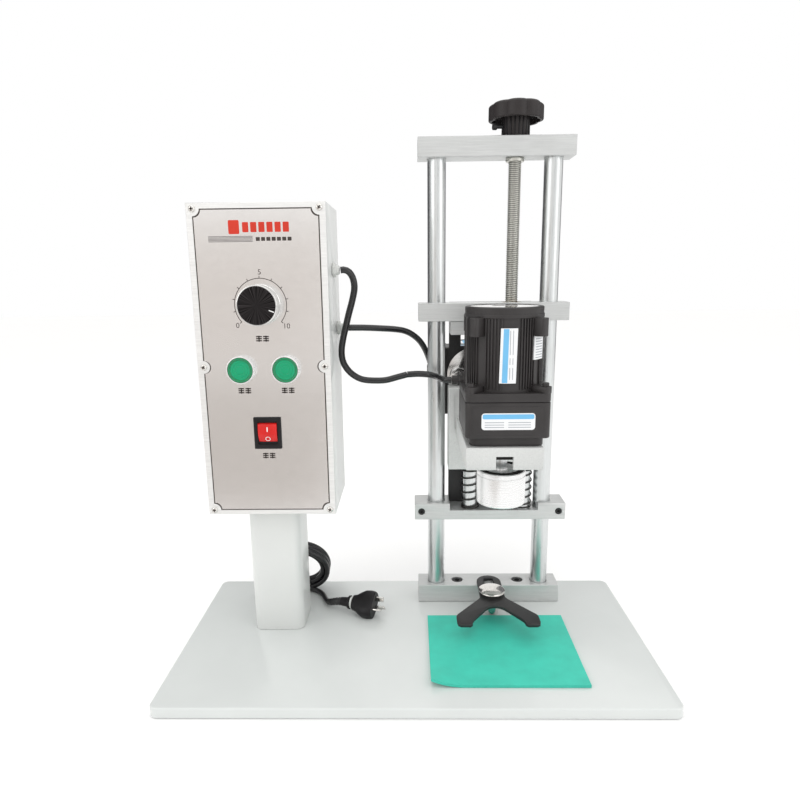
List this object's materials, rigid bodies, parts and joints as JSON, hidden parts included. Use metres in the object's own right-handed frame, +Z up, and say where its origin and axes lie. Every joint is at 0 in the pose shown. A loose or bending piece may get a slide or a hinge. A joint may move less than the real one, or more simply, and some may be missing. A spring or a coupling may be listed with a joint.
{
  "type": "capping machine",
  "caption": "Desktop capping machine: control box on a post, and a screw-raised carriage on two rods with a sprung, motor-driven capping chuck.",
  "frame": {"origin": "middle of the base plate's underside", "axes": "+Z up, the control panel and the capping chuck face -Y, +X runs from the control box to the column"},
  "size_m": [0.5, 0.3454, 0.58],
  "materials": {
    "base_paint": "pale grey gloss paint",
    "white_paint": "white powder coat",
    "panel_steel": "polished stainless sheet with fine grain",
    "machined_aluminium": "bead-blasted, clear anodised",
    "hard_chrome": "ground and chromed",
    "plain_steel": "bright turned steel",
    "bronze": "bearing bronze",
    "motor_paint": "dark brown-black satin paint over ribbed steel",
    "gearbox_casting": "black satin paint over a die casting",
    "black_steel": "black oxide, satin",
    "spring_steel": "black spring wire",
    "black_plastic": "moulded black plastic",
    "grey_plastic": "light grey moulded plastic",
    "cable_sleeve": "black braided sleeve",
    "cord_rubber": "black flexible cord",
    "chuck_rubber": "moulded rubber lining",
    "mat_rubber": "teal non-slip mat",
    "green_cap": "translucent green cap",
    "red_rocker": "translucent red rocker",
    "board": "circuit board with its parts"
  },
  "bodies": {
    "base": {"base_plate": "base_paint", "post": "white_paint", "control_box_shell": "white_paint", "front_panel": "panel_steel", "rear_cover": "white_paint", "speed_control_board": "board", "speed_potentiometer": "plain_steel", "start_button_body": "plain_steel", "stop_button_body": "plain_steel", "power_switch_body": "black_plastic", "head_cable_gland": "grey_plastic", "lift_cable_gland": "grey_plastic", "mains_cord_gland": "black_plastic", "base_block": "machined_aluminium", "base_block_bolt_left": "black_steel", "base_block_bolt_right": "black_steel", "guide_rod_left": "hard_chrome", "guide_rod_right": "hard_chrome", "top_plate": "machined_aluminium", "lead_screw_bearing": "bronze", "fork_standoff": "plain_steel", "rubber_mat": "mat_rubber", "mains_cord_upper": "cord_rubber", "mains_cord_coil": "cord_rubber", "mains_cord_lower": "cord_rubber", "mains_plug": "black_plastic", "head_motor_cable": "cable_sleeve", "lift_motor_cable": "cable_sleeve"},
    "carriage": {"middle_bar": "machined_aluminium", "lower_bar": "machined_aluminium", "hanger_block": "machined_aluminium", "lift_back_plate": "black_steel", "lead_screw_nut": "bronze", "guide_post_left": "hard_chrome", "guide_post_right": "hard_chrome", "lift_gearbox": "gearbox_casting", "lift_motor": "motor_paint", "clamp_screw_left": "black_steel", "clamp_screw_right": "black_steel", "return_spring_left": "spring_steel", "return_spring_right": "spring_steel", "head_motor_cable_end": "cable_sleeve"},
    "height_screw": {"lead_screw": "plain_steel", "handwheel": "black_plastic"},
    "head": {"slide_block": "machined_aluminium", "head_shelf": "machined_aluminium", "head_gearbox": "gearbox_casting", "head_motor": "motor_paint"},
    "crank": {"crank_disc": "plain_steel"},
    "roller": {"crank_roller": "plain_steel"},
    "chuck_unit": {"output_spindle": "plain_steel", "chuck": "machined_aluminium", "chuck_liner": "chuck_rubber"},
    "fork_pivot": {"fork_washer": "plain_steel"},
    "fork": {"bottle_fork": "black_steel"},
    "fork_screw": {"thumbscrew": "plain_steel"},
    "dial": {"speed_knob": "black_plastic"},
    "start_cap": {"start_button": "green_cap"},
    "stop_cap": {"stop_button": "green_cap"},
    "rocker": {"power_rocker": "red_rocker"}
  },
  "joints": [
    {"name": "carriage_height", "type": "slide", "parent": "base", "child": "carriage", "axis": [0, 0, 1], "range_m": [-0.06, 0.12], "deforming": ["head_motor_cable", "lift_motor_cable"]},
    {"name": "height_screw_turn", "type": "hinge", "parent": "base", "child": "height_screw", "pos_m": [0.1128, 0.0825, 0.5], "axis": [0, 0, 1], "range_deg": [-10800, 5400]},
    {"name": "head_stroke", "type": "slide", "parent": "carriage", "child": "head", "axis": [0, 0, 1], "range_m": [-0.022, 0.0176], "deforming": ["return_spring_left", "return_spring_right", "head_motor_cable_end"]},
    {"name": "crank_turn", "type": "hinge", "parent": "carriage", "child": "crank", "pos_m": [0.0735, 0.094, 0.289], "axis": [0, -1, 0], "range_deg": [-60.5, 75.5]},
    {"name": "roller_spin", "type": "hinge", "parent": "crank", "child": "roller", "pos_m": [0.054, 0.085, 0.289], "axis": [0, -1, 0], "continuous": true},
    {"name": "chuck_spin", "type": "hinge", "parent": "head", "child": "chuck_unit", "pos_m": [0.09, -0.02, 0.2], "axis": [0, 0, 1], "continuous": true},
    {"name": "fork_swivel", "type": "hinge", "parent": "base", "child": "fork_pivot", "pos_m": [0.092, 0.043, 0.035], "axis": [0, 0, 1], "range_deg": [-20, 20]},
    {"name": "fork_slide", "type": "slide", "parent": "fork_pivot", "child": "fork", "axis": [0, -1, 0], "range_m": [0, 0.028]},
    {"name": "thumbscrew_turn", "type": "hinge", "parent": "base", "child": "fork_screw", "pos_m": [0.092, 0.043, 0.04], "axis": [0, 0, 1], "range_deg": [0, 720]},
    {"name": "speed_knob_turn", "type": "hinge", "parent": "base", "child": "dial", "pos_m": [-0.148, -0.02, 0.3772], "axis": [0, 1, 0], "range_deg": [-241, 19]},
    {"name": "start_button_press", "type": "slide", "parent": "base", "child": "start_cap", "axis": [0, 1, 0], "range_m": [0, 0.0025], "stiffness_N_per_m": 800},
    {"name": "stop_button_press", "type": "slide", "parent": "base", "child": "stop_cap", "axis": [0, 1, 0], "range_m": [0, 0.0025], "stiffness_N_per_m": 800},
    {"name": "power_rocker_tilt", "type": "hinge", "parent": "base", "child": "rocker", "pos_m": [-0.148, -0.008, 0.2475], "axis": [1, 0, 0], "range_deg": [-18, 0]}
  ],
  "couplings": [
    {"joint": "height_screw_turn", "follows": "carriage_height", "rad_per_m": -1570.8},
    {"joint": "crank_turn", "follows": "head_stroke", "rad_per_m": -59.63}
  ]
}
